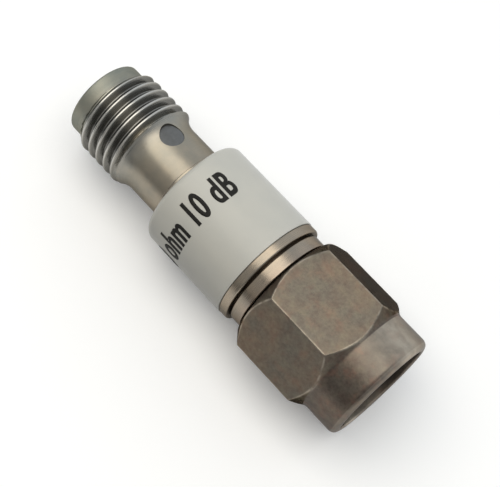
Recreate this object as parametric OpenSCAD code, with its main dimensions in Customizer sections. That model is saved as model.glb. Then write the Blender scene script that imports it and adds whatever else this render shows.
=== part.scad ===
// In-line coaxial attenuator with a screw-coupled jack at one end and a plug at the other.
// It lies on one flat of its hexagon nut. The axis runs along +X from the jack to the plug.

/* [Overall] */
// Length from the front of the jack to the rim of the nut
overall_len = 25.78; // [25:0.02:30]
// Share of the length between thread and flange seam that the bare neck takes
neck_share = 0.2413; // [0.18:0.0001:0.3]
// Share of that length that the jack spigot takes inside the housing
spigot_share = 0.178; // [0.14:0.001:0.22]

/* [Jack shell] */
// Outer diameter of the coupling thread on the jack
thread_major_d = 6.32; // [6.2:0.01:6.4]
// Wall of the plain lead around the counterbore, in front of the thread
lead_wall = 0.435; // [0.3:0.005:0.5]
// Length of the plain lead
lead_len = 1.0; // [0.6:0.05:1.4]
// Length of the thread at full diameter, with its starting bevel
thread_len = 3.75; // [3:0.05:4.2]
// Depth of the neck below the outer diameter of the thread
neck_drop = 0.48; // [0.36:0.01:0.56]
// Radius of the hollow blend from the thread into the neck
neck_blend_r = 1.6; // [1.2:0.1:2.4]
// Bevel from the outer diameter of the thread down to the hollow blend
run_out = 0.17; // [0.08:0.01:0.3]
// Depth of the counterbore down to the reference plane
counterbore_depth = 1.95; // [1.88:0.01:1.98]
// Diameter of the spigot that the housing nose holds
spigot_d = 4.6; // [4.4:0.05:4.8]
// Bevel on the small outer edges of the turned pieces
edge_bevel = 0.1; // [0.05:0.01:0.14]

/* [Threads] */
// Pitch of both coupling threads
thread_pitch = 0.7056; // [0.6:0.0001:0.8]
// Width of the flat on a thread crest
crest_flat = 0.1; // [0.06:0.01:0.16]
// Width of the flat at a thread root
root_flat = 0.09; // [0.05:0.01:0.14]
// Depth of the thread on the jack
thread_depth = 0.41; // [0.34:0.01:0.44]
// Clearance of the roots in the nut around the crests of a mating thread
root_gap = 0.02; // [0.01:0.01:0.06]

/* [Coaxial line] */
// Bore for the wide insulator at each mating end
wide_bore_d = 4.13; // [4:0.01:4.2]
// Bore for the narrow insulator inside the body
narrow_bore_d = 3.3; // [3:0.05:3.5]
// Distance from the resin hole to the end of the wide insulator in the jack
jack_step_setback = 0.5; // [0.2:0.05:0.9]
// Distance from the gasket undercut to the wide insulator in the plug
plug_step_setback = 0.3; // [0.2:0.05:0.5]
// Diameter of the contacts in the wide insulators
contact_wide_d = 1.27; // [1.2:0.01:1.3]
// Diameter of the contacts in the narrow insulators
contact_narrow_d = 1.0; // [0.9:0.01:1.1]
// Bore of the socket contact
socket_d = 0.94; // [0.92:0.01:0.96]
// Depth of the socket
socket_depth = 2.8; // [2.4:0.05:3]
// Width of the spring slots in the socket
socket_slot_w = 0.12; // [0.08:0.01:0.2]
// Length of the spring slots
socket_slot_len = 2.0; // [1.4:0.05:2.2]
// Diameter of the plug pin
pin_d = 0.92; // [0.9:0.01:0.94]
// Length of the plug pin in front of the reference plane, with its tip
pin_len = 2.0; // [1.6:0.05:2.2]
// Share of the chip's length that each contact tail grips
tail_share = 0.22; // [0.12:0.01:0.28]

/* [Resin lock] */
// Diameter of the resin-filled cross hole in the neck
resin_d = 1.6; // [1.2:0.05:1.7]
// Distance of the cross hole from the bottom of the socket
resin_setback = 1.15; // [0.9:0.05:1.4]
// Angle of the cross hole from straight up, about the axis
resin_angle = 15; // [-40:1:40]
// Depth of the resin below the neck surface
resin_dish = 0.03; // [0.01:0.01:0.08]
// Waist of the socket contact that the resin grips
waist_d = 0.95; // [0.8:0.01:1.1]
// Length of that waist
waist_len = 1.2; // [0.8:0.05:1.4]

/* [Housing] */
// Height of the sleeve above the bare rear ring of the housing
sleeve_proud = 0.04; // [0.02:0.01:0.08]
// Height of the collar in front of the sleeve above the neck
collar_step = 0.13; // [0.08:0.01:0.2]
// Length of that collar
collar_len = 0.38; // [0.2:0.02:0.6]
// Wall of the housing around its cavity, under the sleeve
housing_wall = 0.77; // [0.6:0.01:0.85]
// Bevel at the rear edge of the housing
housing_bevel = 0.14; // [0.08:0.01:0.2]

/* [Label sleeve] */
// Outer diameter of the sleeve
sleeve_d = 7.76; // [7.7:0.01:7.9]
// Thickness of the sleeve
sleeve_t = 0.1; // [0.08:0.01:0.14]
// Outer rounding of the sleeve shoulder
shoulder_r = 0.6; // [0.45:0.05:0.75]
// Width of the bare ring behind the sleeve
bare_ring_w = 0.59; // [0.4:0.01:0.9]

/* [Chip and carrier] */
// Thickness of the attenuator chip
chip_t = 0.38; // [0.3:0.01:0.5]
// Width of the chip across the axis
chip_w = 4.4; // [3.8:0.1:4.6]
// Setback of the chip from each end of the carrier
chip_setback = 0.14; // [0.1:0.01:0.3]
// Width of the open channel over the chip
channel_w = 2.2; // [1.8:0.1:2.6]
// Height of the channel from the middle plane
channel_h = 1.3; // [1:0.05:1.5]

/* [Plug body] */
// Share of the cavity's length that the spigot of the plug body takes
plug_share = 0.3833; // [0.33:0.0001:0.43]
// Height of the step that bears on the rear face of the housing
seam_land = 0.35; // [0.25:0.05:0.45]
// Width of the seam groove between housing and flange
seam_w = 0.12; // [0.08:0.01:0.2]
// Step from the bare ring of the housing down to the plug flange
flange_step = 0.27; // [0.15:0.01:0.35]
// Width of the plug flange
flange_w = 0.88; // [0.6:0.02:1.2]
// Diameter of the journal that the nut turns on
journal_d = 5.2; // [5.1:0.01:5.3]
// Length of the journal
journal_len = 3.2; // [3:0.02:3.4]
// Wall of the ferrule that enters the counterbore of a jack
ferrule_wall = 0.215; // [0.19:0.005:0.225]
// Length of the ferrule in front of the journal
ferrule_len = 2.5; // [2.3:0.05:2.8]

/* [Retaining ring and gasket] */
// Width of the retaining ring along the axis
ring_w = 0.45; // [0.3:0.01:0.5]
// Depth of the retaining ring below the journal surface
ring_sunk = 0.29; // [0.2:0.01:0.32]
// Height of the retaining ring above the journal surface
ring_proud = 0.26; // [0.2:0.01:0.3]
// Width of the opening in the retaining ring
ring_opening = 1.2; // [0.8:0.1:2]
// Distance from the flange to the groove for the ring
ring_setback = 1.45; // [1.2:0.05:1.8]
// Thickness of the gasket
gasket_t = 0.6; // [0.4:0.05:0.7]
// Width of the gasket across its section
gasket_w = 0.61; // [0.5:0.01:0.65]
// Depth of the undercut at the foot of the ferrule that the gasket sits in
undercut = 0.2; // [0.17:0.01:0.25]
// Free length of that undercut in front of the gasket
undercut_free = 0.06; // [0.04:0.01:0.1]

/* [Coupling nut] */
// Width across the flats of the hexagon
nut_af = 8.0; // [7.9:0.01:8.2]
// Length of the nut
nut_len = 8.42; // [8:0.02:8.8]
// Length of the hexagon with its bevels
hex_len = 5.9; // [5.4:0.02:6.2]
// Step from the flats of the hexagon down to the plain skirt
skirt_step = 0.1; // [0.06:0.01:0.15]
// Rounding of the outer rim of the skirt
rim_round = 0.16; // [0.08:0.02:0.2]
// Height of the coupling thread in the nut
nut_thread_h = 0.31; // [0.26:0.01:0.32]
// Clearance of the plain mouth around a mating thread
mouth_gap = 0.09; // [0.04:0.01:0.18]
// Depth of the mouth
mouth_depth = 0.6; // [0.4:0.02:0.8]
// Bevel from the mouth into the thread
mouth_bevel = 0.25; // [0.1:0.01:0.3]
// Clearance of the relief behind the thread around a mating thread
relief_gap = 0.09; // [0.04:0.01:0.18]
// Length of the relief
relief_len = 1.2; // [1:0.05:1.4]
// Setback of the rear wall from the end of the journal
rear_wall_setback = 0.19; // [0.1:0.01:0.3]

/* [Clearances] */
// Radial clearance of pieces that are pressed or screwed together
seat_gap = 0.01; // [0.01:0.005:0.02]
// Radial clearance of a ferrule in a counterbore
mating_gap = 0.03; // [0.02:0.005:0.05]
// Radial clearance of the nut on its journal
journal_gap = 0.06; // [0.04:0.01:0.08]
// Gap between the flange and the nut
nut_gap = 0.16; // [0.12:0.01:0.24]
// Free play of the retaining ring in its two grooves
ring_gap = 0.1; // [0.06:0.01:0.12]
// End play of the carrier in the cavity
carrier_gap = 0.02; // [0.01:0.01:0.06]

/* [Hidden] */
$fn = 96;
eps = 0.01;

// Diameters and heights that follow from a seat or a wall
ferrule_d = wide_bore_d + 2 * ferrule_wall;
counterbore_d = ferrule_d + 2 * mating_gap;
lead_d = counterbore_d + 2 * lead_wall;
thread_bevel = (thread_major_d - lead_d) / 2;
neck_d = thread_major_d - 2 * neck_drop;
blend_rise = neck_drop - run_out;
collar_d = neck_d + 2 * collar_step;
housing_d = sleeve_d - 2 * sleeve_proud;
sleeved_d = sleeve_d - 2 * sleeve_t - 2 * seat_gap;
sleeved_round = shoulder_r - sleeve_t - seat_gap;
cavity_d = sleeved_d - 2 * housing_wall;
seam_d = cavity_d + 2 * seam_land;
flange_d = housing_d - 2 * flange_step;
ring_inner_d = journal_d - 2 * ring_sunk;
ring_outer_d = journal_d + 2 * ring_proud;
journal_groove_d = ring_inner_d - 2 * ring_gap;
nut_groove_d = ring_outer_d + 2 * ring_gap;
undercut_d = ferrule_d - 2 * undercut;
gasket_seat_d = undercut_d + 2 * seat_gap;
gasket_d = gasket_seat_d + 2 * gasket_w;
hex_corner_d = nut_af / cos(30);
skirt_d = nut_af - 2 * skirt_step;
nut_thread_d = thread_major_d - 2 * nut_thread_h;
nut_root_d = thread_major_d + 2 * root_gap;
groove_w = thread_pitch - crest_flat;
mouth_d = thread_major_d + 2 * mouth_gap;
relief_d = thread_major_d + 2 * relief_gap;

// Places along the axis, measured from the front of the jack
thread_end = lead_len + thread_len;
blend_start = thread_end + run_out;
blend_end = blend_start + sqrt(2 * neck_blend_r * blend_rise - blend_rise * blend_rise);
resin_pos = counterbore_depth + socket_depth + resin_setback;
jack_step = resin_pos + resin_d / 2 + jack_step_setback;
nut_end = overall_len;
nut_start = nut_end - nut_len;
hex_end = nut_start + hex_len;
flange_end = nut_start - nut_gap;
flange_start = flange_end - flange_w;
cavity_end = flange_start - seam_w;
middle_len = cavity_end - blend_end;
jack_reach = blend_end + neck_share * middle_len;
cavity_start = jack_reach + spigot_share * middle_len;
plug_start = cavity_end - plug_share * (cavity_end - cavity_start);
sleeve_start = jack_reach + collar_len;
sleeve_end = cavity_end - bare_ring_w;
journal_end = flange_end + journal_len;
ferrule_end = journal_end + ferrule_len;
undercut_end = journal_end + gasket_t + undercut_free;
plug_step = undercut_end + plug_step_setback;
nut_wall_end = journal_end - rear_wall_setback;

// Places of the inner pieces, from the seats that hold them
carrier_len = plug_start - cavity_start - carrier_gap;
chip_len = carrier_len - 2 * chip_setback;
chip_start = cavity_start + chip_setback;
chip_end = chip_start + chip_len;
tail_grip = tail_share * chip_len;
ring_start = flange_end + ring_setback;
waist_from = resin_pos - waist_len / 2;
waist_to = resin_pos + waist_len / 2;

// Stands a piece that is drawn upright along the lying axis
module on_axis() {
  translate([-overall_len / 2, 0, nut_af / 2]) rotate([0, 90, 0]) children();
}

// Section of a round step between two places on the axis
module step(d, from, to) {
  translate([0, from]) square([d / 2, to - from]);
}

// Section of a round step with bevelled ends
module bevelled_step(d, from, to, bevel_from, bevel_to) {
  r = d / 2;
  polygon([
    [0, from],
    [r - bevel_from, from],
    [r, from + bevel_from],
    [r, to - bevel_to],
    [r - bevel_to, to],
    [0, to]
  ]);
}

// Section of a round step whose first edge is rounded
module rounded_step(d, from, to, round) {
  step(d, from + round, to);
  step(d - 2 * round, from, to);
  translate([d / 2 - round, from + round]) circle(round);
}

// Solid of revolution from the outer section less the bore section, which are its two children
module turned() {
  rotate_extrude() difference() {
    children(0);
    children(1);
  }
}

// Hollow blend from the end of the thread into the neck
module neck_blend() {
  difference() {
    step(neck_d + 2 * blend_rise, blend_start, blend_end);
    translate([neck_d / 2 + neck_blend_r, blend_end]) circle(neck_blend_r);
  }
}

// Section of thread grooves as rings, from crests at one diameter to roots at another
module thread_grooves(crest_d, root_d, from, to) {
  free = crest_d > root_d ? eps : -eps;
  for (place = [from + thread_pitch / 2 : thread_pitch : to]) translate([0, place]) polygon([
    [crest_d / 2 + free, -groove_w / 2],
    [crest_d / 2 + free, groove_w / 2],
    [root_d / 2, root_flat / 2],
    [root_d / 2, -root_flat / 2]
  ]);
}

// Thread with its starting bevel and a bevel down into the blend
module thread_section() {
  difference() {
    bevelled_step(thread_major_d, lead_len, thread_end + run_out, thread_bevel, run_out);
    thread_grooves(thread_major_d, thread_major_d - 2 * thread_depth, lead_len + thread_bevel, thread_end);
  }
}

// Round bar across the axis, at the place and angle of the resin hole
module resin_bar(d) {
  translate([0, 0, resin_pos]) rotate([0, 0, 180 - resin_angle]) rotate([0, 90, 0])
    cylinder(d = d, h = neck_d);
}

module jack_shell_solid() {
  turned() {
    union() {
      bevelled_step(lead_d, 0, lead_len + eps, edge_bevel, 0);
      thread_section();
      neck_blend();
      step(neck_d, thread_end, jack_reach);
      bevelled_step(spigot_d, jack_reach - eps, cavity_start, 0, edge_bevel);
    }
    union() {
      bevelled_step(counterbore_d + 2 * edge_bevel, -eps, edge_bevel, 0, edge_bevel);
      step(counterbore_d, 0, counterbore_depth);
      step(wide_bore_d, 0, jack_step);
      step(narrow_bore_d, 0, cavity_start + eps);
    }
  }
}

module jack_shell() {
  color([0.66, 0.62, 0.55]) on_axis() difference() {
    jack_shell_solid();
    resin_bar(resin_d);
  }
}

// Stepped insulator with a narrow part and a wide part towards its mating face
module insulator_section(narrow_from, narrow_to, wide_from, wide_to) {
  step(narrow_bore_d - 2 * seat_gap, narrow_from, narrow_to);
  step(wide_bore_d - 2 * seat_gap, wide_from, wide_to);
}

module jack_insulator() {
  wide_end = jack_step - seat_gap;
  color([0.93, 0.93, 0.9]) on_axis() difference() {
    turned() {
      insulator_section(wide_end - eps, cavity_start, counterbore_depth, wide_end);
      union() {
        step(contact_wide_d + 2 * seat_gap, 0, jack_step);
        step(contact_narrow_d + 2 * seat_gap, 0, cavity_start + eps);
      }
    }
    resin_bar(resin_d);
  }
}

// Slot at the end of a contact tail that takes the edge of the chip
module tail_slot(from, len) {
  slot_t = chip_t + 2 * seat_gap;
  translate([-slot_t / 2, -contact_wide_d, from]) cube([slot_t, 2 * contact_wide_d, len]);
}

// Crossed spring slots at the mouth of the socket
module socket_slots() {
  for (turn = [0, 90]) rotate([0, 0, turn + 45])
    translate([-contact_wide_d, -socket_slot_w / 2, counterbore_depth - eps])
      cube([2 * contact_wide_d, socket_slot_w, socket_slot_len + eps]);
}

module jack_contact() {
  tail_end = chip_start + tail_grip;
  color([0.83, 0.66, 0.32]) on_axis() difference() {
    turned() {
      difference() {
        union() {
          step(contact_wide_d, counterbore_depth, jack_step - seat_gap);
          bevelled_step(contact_narrow_d, counterbore_depth, tail_end, 0, edge_bevel);
        }
        difference() {
          translate([0, waist_from]) square([contact_wide_d, waist_to - waist_from]);
          step(waist_d, waist_from - eps, waist_to + eps);
        }
      }
      union() {
        step(socket_d, counterbore_depth - eps, counterbore_depth + socket_depth);
        bevelled_step(socket_d + edge_bevel, counterbore_depth - eps, counterbore_depth + edge_bevel / 2, 0,
                      edge_bevel / 2);
      }
    }
    socket_slots();
    tail_slot(chip_start - seat_gap, 2 * tail_grip);
  }
}

// Section of the socket contact with room for the resin around it
module resin_core() {
  step(waist_d + 2 * seat_gap, 0, jack_reach);
  step(contact_wide_d + 2 * seat_gap, -eps, waist_from + seat_gap);
  step(contact_wide_d + 2 * seat_gap, waist_to - seat_gap, jack_reach + eps);
}

// Resin that fills the cross hole and runs round the waist of the contact
module resin_lock() {
  color([0.3, 0.31, 0.32]) on_axis() {
    intersection() {
      resin_bar(resin_d - 2 * seat_gap);
      turned() {
        step(neck_d - 2 * resin_dish, 0, jack_reach);
        resin_core();
      }
    }
    turned() {
      step(contact_wide_d, waist_from + seat_gap, waist_to - seat_gap);
      resin_core();
    }
  }
}

module housing() {
  front = sleeve_start + sleeve_t + seat_gap;
  color([0.68, 0.62, 0.55]) on_axis() turned() {
    union() {
      bevelled_step(collar_d, jack_reach, front + eps, edge_bevel / 2, 0);
      rounded_step(sleeved_d, front, sleeve_end + eps, sleeved_round);
      bevelled_step(housing_d, sleeve_end, cavity_end, 0, housing_bevel);
    }
    union() {
      step(spigot_d + 2 * seat_gap, jack_reach - eps, cavity_start + eps);
      step(cavity_d, cavity_start, cavity_end + eps);
    }
  }
}

module label_sleeve() {
  front = sleeve_start + sleeve_t;
  rim_d = collar_d + 2 * seat_gap;
  color([0.8, 0.8, 0.77]) on_axis() turned() {
    rounded_step(sleeve_d, sleeve_start, sleeve_end, shoulder_r);
    union() {
      step(rim_d, sleeve_start - eps, front + eps);
      rounded_step(sleeve_d - 2 * sleeve_t, front, sleeve_end + eps, shoulder_r - sleeve_t);
    }
  }
}

// One half of the split carrier, open over the chip and recessed for its edges
module carrier_half() {
  pocket_t = chip_t / 2 + seat_gap;
  pocket_w = chip_w + 2 * seat_gap;
  pocket_len = chip_len + 2 * seat_gap;
  translate([0, 0, cavity_start]) difference() {
    cylinder(d = cavity_d - 2 * seat_gap, h = carrier_len);
    translate([0, -cavity_d, -eps]) cube([cavity_d, 2 * cavity_d, carrier_len + 2 * eps]);
    translate([-pocket_t, -pocket_w / 2, (carrier_len - pocket_len) / 2])
      cube([2 * pocket_t, pocket_w, pocket_len]);
    translate([-channel_h, -channel_w / 2, -eps]) cube([2 * channel_h, channel_w, carrier_len + 2 * eps]);
  }
}

module carrier_upper() {
  color([0.78, 0.64, 0.34]) on_axis() carrier_half();
}

module carrier_lower() {
  color([0.74, 0.6, 0.32]) on_axis() rotate([0, 0, 180]) carrier_half();
}

module attenuator_chip() {
  color([0.92, 0.91, 0.87]) on_axis()
    translate([-chip_t / 2, -chip_w / 2, chip_start]) cube([chip_t, chip_w, chip_len]);
}

module plug_body() {
  color([0.7, 0.62, 0.55]) on_axis() turned() {
    difference() {
      union() {
        bevelled_step(cavity_d - 2 * seat_gap, plug_start, cavity_end + eps, edge_bevel, 0);
        step(seam_d, cavity_end, flange_start + eps);
        bevelled_step(flange_d, flange_start, flange_end, edge_bevel / 2, edge_bevel);
        bevelled_step(journal_d, flange_end - eps, journal_end, 0, edge_bevel);
        step(undercut_d, journal_end - eps, ferrule_end - edge_bevel);
        bevelled_step(ferrule_d, undercut_end, ferrule_end, 0, edge_bevel);
      }
      difference() {
        step(journal_d + eps, ring_start - ring_gap, ring_start + ring_w + ring_gap);
        step(journal_groove_d, plug_start, ferrule_end);
      }
    }
    union() {
      step(narrow_bore_d, plug_start - eps, ferrule_end);
      step(wide_bore_d, plug_step, ferrule_end + eps);
    }
  }
}

module plug_insulator() {
  wide_start = plug_step + seat_gap;
  color([0.93, 0.93, 0.9]) on_axis() turned() {
    insulator_section(plug_start, wide_start + eps, wide_start, ferrule_end);
    union() {
      step(contact_narrow_d + 2 * seat_gap, plug_start - eps, ferrule_end);
      step(contact_wide_d + 2 * seat_gap, plug_step, ferrule_end + eps);
    }
  }
}

module plug_contact() {
  tail_start = chip_end - tail_grip;
  wide_start = plug_step + seat_gap;
  tip = pin_d / 4;
  color([0.83, 0.66, 0.32]) on_axis() difference() {
    rotate_extrude() union() {
      bevelled_step(contact_narrow_d, tail_start, wide_start + eps, edge_bevel, 0);
      step(contact_wide_d, wide_start, ferrule_end);
      bevelled_step(pin_d, ferrule_end - eps, ferrule_end + pin_len, 0, tip);
    }
    tail_slot(chip_end + seat_gap - 2 * tail_grip, 2 * tail_grip);
  }
}

module retaining_ring() {
  color([0.72, 0.6, 0.36]) on_axis() difference() {
    turned() {
      step(ring_outer_d, ring_start, ring_start + ring_w);
      step(ring_inner_d, ring_start - eps, ring_start + ring_w + eps);
    }
    translate([0, -ring_opening / 2, ring_start - eps]) cube([ring_outer_d, ring_opening, ring_w + 2 * eps]);
  }
}

module gasket() {
  color([0.72, 0.25, 0.2]) on_axis() turned() {
    bevelled_step(gasket_d, journal_end, journal_end + gasket_t, edge_bevel, edge_bevel);
    step(gasket_seat_d, journal_end - eps, journal_end + gasket_t + eps);
  }
}

// Outer section of the nut: a bevelled envelope for the hexagon corners
module hex_envelope() {
  corner_bevel = (hex_corner_d - skirt_d) / 2;
  bevelled_step(hex_corner_d, nut_start, hex_end, corner_bevel, corner_bevel);
}

// Bore section of the nut, from the rear wall to the mouth
module nut_bore_section() {
  thread_start = nut_wall_end + relief_len;
  mouth_start = nut_end - mouth_depth;
  groove_from = ring_start - 2 * ring_gap;
  groove_to = ring_start + ring_w + 2 * ring_gap;
  step(journal_d + 2 * journal_gap, nut_start - eps, nut_wall_end + eps);
  step(nut_groove_d, groove_from, groove_to);
  step(relief_d, nut_wall_end, thread_start);
  step(nut_thread_d, nut_wall_end, nut_end);
  thread_grooves(nut_thread_d, nut_root_d, thread_start, mouth_start - mouth_bevel - groove_w / 2);
  bevelled_step(nut_thread_d + 2 * mouth_bevel, mouth_start - mouth_bevel, nut_end, mouth_bevel, 0);
  step(mouth_d, mouth_start, nut_end + eps);
}

// Outer section of the skirt with its rounded rim
module skirt_section() {
  step(skirt_d, nut_start + hex_len / 2, nut_end - rim_round);
  step(skirt_d - 2 * rim_round, nut_start + hex_len / 2, nut_end);
  translate([skirt_d / 2 - rim_round, nut_end - rim_round]) circle(rim_round);
}

module coupling_nut() {
  color([0.5, 0.46, 0.4]) on_axis() difference() {
    union() {
      intersection() {
        translate([0, 0, nut_start]) rotate([0, 0, 30]) cylinder(d = hex_corner_d, h = hex_len, $fn = 6);
        rotate_extrude() hex_envelope();
      }
      rotate_extrude() skirt_section();
    }
    rotate_extrude() nut_bore_section();
  }
}

jack_shell();
jack_insulator();
jack_contact();
resin_lock();
housing();
label_sleeve();
carrier_upper();
carrier_lower();
attenuator_chip();
plug_body();
plug_insulator();
plug_contact();
retaining_ring();
gasket();
coupling_nut();
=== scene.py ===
# Dressed model of an in-line coaxial attenuator: turned metal, a pale shrunk sleeve and a hexagon nut.
import math

import bmesh
import bpy
import numpy as np
from mathutils import Matrix, Vector


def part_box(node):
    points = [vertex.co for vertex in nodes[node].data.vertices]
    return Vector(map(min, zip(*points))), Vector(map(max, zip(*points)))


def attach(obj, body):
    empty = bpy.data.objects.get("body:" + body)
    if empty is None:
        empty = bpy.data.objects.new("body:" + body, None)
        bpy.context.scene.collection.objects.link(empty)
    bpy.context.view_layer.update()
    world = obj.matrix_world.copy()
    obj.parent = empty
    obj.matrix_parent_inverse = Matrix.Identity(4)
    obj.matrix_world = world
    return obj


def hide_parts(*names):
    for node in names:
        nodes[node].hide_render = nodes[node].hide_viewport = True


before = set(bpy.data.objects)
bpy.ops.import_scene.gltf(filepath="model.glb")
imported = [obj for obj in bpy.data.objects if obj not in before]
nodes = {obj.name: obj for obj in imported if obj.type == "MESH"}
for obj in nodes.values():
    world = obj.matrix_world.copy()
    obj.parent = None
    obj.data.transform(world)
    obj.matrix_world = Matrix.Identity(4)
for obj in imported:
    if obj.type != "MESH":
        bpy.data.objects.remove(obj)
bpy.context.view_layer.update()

# Frame values: lengths in millimetres along the axis from the front of the jack, radii from the axis
MM = 0.001
shell_low, shell_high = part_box("jack_shell")
JACK_FRONT = shell_low.x
AXIS_Z = (shell_low.z + shell_high.z) / 2


def along(x_world):
    """Place on the axis, in millimetres from the front of the jack."""
    return (x_world - JACK_FRONT) / MM


def node_span(node):
    """First place, last place and largest radius of a round node, in millimetres."""
    low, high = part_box(node)
    return along(low.x), along(high.x), (high.z - low.z) / 2 / MM


_, CAVITY_START, THREAD_R = node_span("jack_shell")
SEAM, CAVITY_END, HOUSING_R = node_span("housing")
SLEEVE_START, SLEEVE_END, SLEEVE_R = node_span("label_sleeve")
PLUG_START, FERRULE_END, FLANGE_R = node_span("plug_body")
NUT_START, NUT_END, NUT_FLAT_R = node_span("coupling_nut")
RING_START, RING_END, RING_R = node_span("retaining_ring")

# Turned sections: rings of this many points, and the roundings that several edges share
SEGMENTS = 256
SHARP = 0.01
CRISP = 0.02
BROKEN = 0.03
DULLED = 0.04
SOFT = 0.05
BEVELLED = 0.08
EASED = 0.1

# Largest share of a section's side that one rounded corner takes, without and with its support point
CORNER_ROOM = 0.45
SUPPORT_ROOM = 0.49

# Jack shell
LEAD_R = 2.745
LEAD_LEN = 1.0
LEAD_ROUND = 0.12
THREAD_END = 4.75
THREAD_PITCH = 0.7056
THREAD_DEPTH = 0.41
CREST_FLAT = 0.1
ROOT_FLAT = 0.09
CORNER_ROUND = 0.03
CREST_AT_TOP = 2.15
NECK_R = 2.68
NECK_BLEND_R = 1.6
NECK_BLEND_RISE = 0.31
COUNTERBORE_R = 2.31
COUNTERBORE_DEPTH = 1.95
WIDE_BORE_R = 2.065
NARROW_BORE_R = 1.65
JACK_STEP = 7.2
SPIGOT_R = 2.3
RESIN_R = 0.8
RESIN_POS = 5.9
RESIN_ANGLE = -15.0
DRILL_SIDES = 96
DRILL_LEN = 1.2
HOLE_EDGE = math.radians(50)

# Run-out of the jack thread, where its groove lifts to the surface, and the rings along thread and neck
RUN_OUT_LEN = 0.5
GROOVE_FADE_START = 0.2
GROOVE_FADE_LEN = 0.5
GROOVE_LIFT = 1.6
THREAD_ROWS = 36
THREAD_ROW_GAP = 0.03
NECK_ROW_STEP = 0.08
NECK_ROW_GAP = 0.1

# Marks of painted highlight and painted shade on the jack thread: where they fade in and out, and the shares
# of the depth of crest and groove
MARK_START = 0.25
MARK_START_FADE = 0.2
MARK_END = 0.1
MARK_END_FADE = 0.3
MARK_WALL = 0.1
CREST_SHARE = 0.06
GROOVE_FROM = 0.05
GROOVE_SPREAD = 0.22

# Housing, sleeve and plug body
SEAT_GAP = 0.01
COLLAR_R = 2.81
CAVITY_R = 3.0
HOUSING_END_ROUND = 0.14
SLEEVE_T = 0.1
SHOULDER_R = 0.6
SLEEVE_END_GAP = 0.04
SLEEVE_SKEW = 0.2
SLEEVE_SKEW_LEN = 2.0
SEAM_STEP_R = 3.35
FLANGE_START = 16.32
FLANGE_END = 17.2
FLANGE_ROUND = 0.06
JOURNAL_R = 2.6
JOURNAL_END = 20.4
RING_GROOVE_DEPTH = 0.39
FERRULE_R = 2.28
UNDERCUT_R = 2.08
UNDERCUT_END = 21.06
PLUG_STEP = 21.36

# Coupling nut
HEX_LEN = 5.9
HEX_SIDE = math.radians(60)
HEX_HALF_SIDE = math.radians(30)
HEX_EDGE = 0.05
HEX_HOLLOW = 0.22
BEVEL_ZONE = 0.95
BEVEL_ROW_START = 0.02
BEVEL_ROW_STEP = 0.03
HOLLOW_ROW_STEP = 0.04
FLAT_ROWS = 8
SKIRT_R = 3.9
RIM_ROUND = 0.4
MOUTH_R = 3.25
MOUTH_DEPTH = 0.6
MOUTH_ROUND = 0.11
NUT_THREAD_R = 2.85
NUT_THREAD_DEPTH = 0.33
NUT_CREST_AT_TOP = 22.0
NUT_CREST_FLAT = 0.1
NUT_ROOT_FLAT = 0.12
NUT_THREAD_ENTRY = 0.25
NUT_THREAD_ROWS = 16
NUT_ROW_GAP = 0.02
NUT_WALL_END = 20.21
RELIEF_R = 3.25
RELIEF_LEN = 1.2
NUT_THREAD_START = NUT_WALL_END + RELIEF_LEN
JOURNAL_GAP = 0.06
RING_GAP = 0.1

# Wear of the nut and its painted highlights: strengths, and the middle and spread of each painted
# highlight's side in degrees
RIM_WEAR_AND_HIGHLIGHT = 1.3
RIM_WEAR_LEAST = 0.2
SKIRT_HIGHLIGHT = 1.0
FOOT_ROWS = 4
HIGHLIGHT_SIDE = -31.0
HIGHLIGHT_SPREAD = 27.0
MOUTH_GLINT_SIDE = 138.0
MOUTH_GLINT_SPREAD = 26.0

# Print on the sleeve, which reads round the axis towards +Y with its tops towards the jack
PRINT_WORDS = "50 ohm 10 dB"
PRINT_HEIGHT = 1.77
PRINT_NARROWING = 0.56
PRINT_BOLDNESS = 0.022
PRINT_SPACING = 1.12
PRINT_BASELINE = 11.74
PRINT_END_ANGLE = -15.0
PRINT_T = 0.012
PRINT_WELD = 0.0005
PRINT_EDGE = 0.15
PRINT_CUTS = 4

# Camera and image
IMAGE_W = 500
FOCAL_PIXELS = 1131.6
SENSOR_W = 36.0
CAMERA_CLIP = (0.001, 10.0)
CAMERA_PLACE = Vector((17.667, -20.998, 68.653)) * MM
CAMERA_FORWARD = Vector((-0.24009, 0.30472, -0.92168))
CAMERA_UP = Vector((-0.70425, 0.5988, 0.38142))

# Stage: the floor is white to the eye and to reflections, and the lights stand in metres
FLOOR_SIZE = 4.0
FLOOR_ROUGH = 0.9
FLOOR_WHITE = (0.95, 0.955, 0.97)
FLOOR_BOUNCE = (0.2, 0.2, 0.2)
FLOOR_GLOW = 0.06
SKY_DARK_SIDE = (0.16, 0.156, 0.148)
SKY_LIGHT_SIDE = (0.9, 0.96, 1.01)
SOFTBOX_AIM = (0.0, 0.0, 0.004)
SOFTBOXES = {
    "key_softbox": {"place": (-0.015, -0.004, 0.12), "width": 0.1, "depth": 0.18,
                    "radiance": 1.85, "colour": (1.0, 0.94, 0.83)},
    "fill_softbox": {"place": (0.0, -0.11, 0.075), "width": 0.14, "depth": 0.08,
                     "radiance": 0.3, "colour": (1.0, 0.97, 0.9)},
}

# Part of a noise's values over which tones and roughness are spread
NOISE_LOW = 0.3
NOISE_HIGH = 0.7

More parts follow.
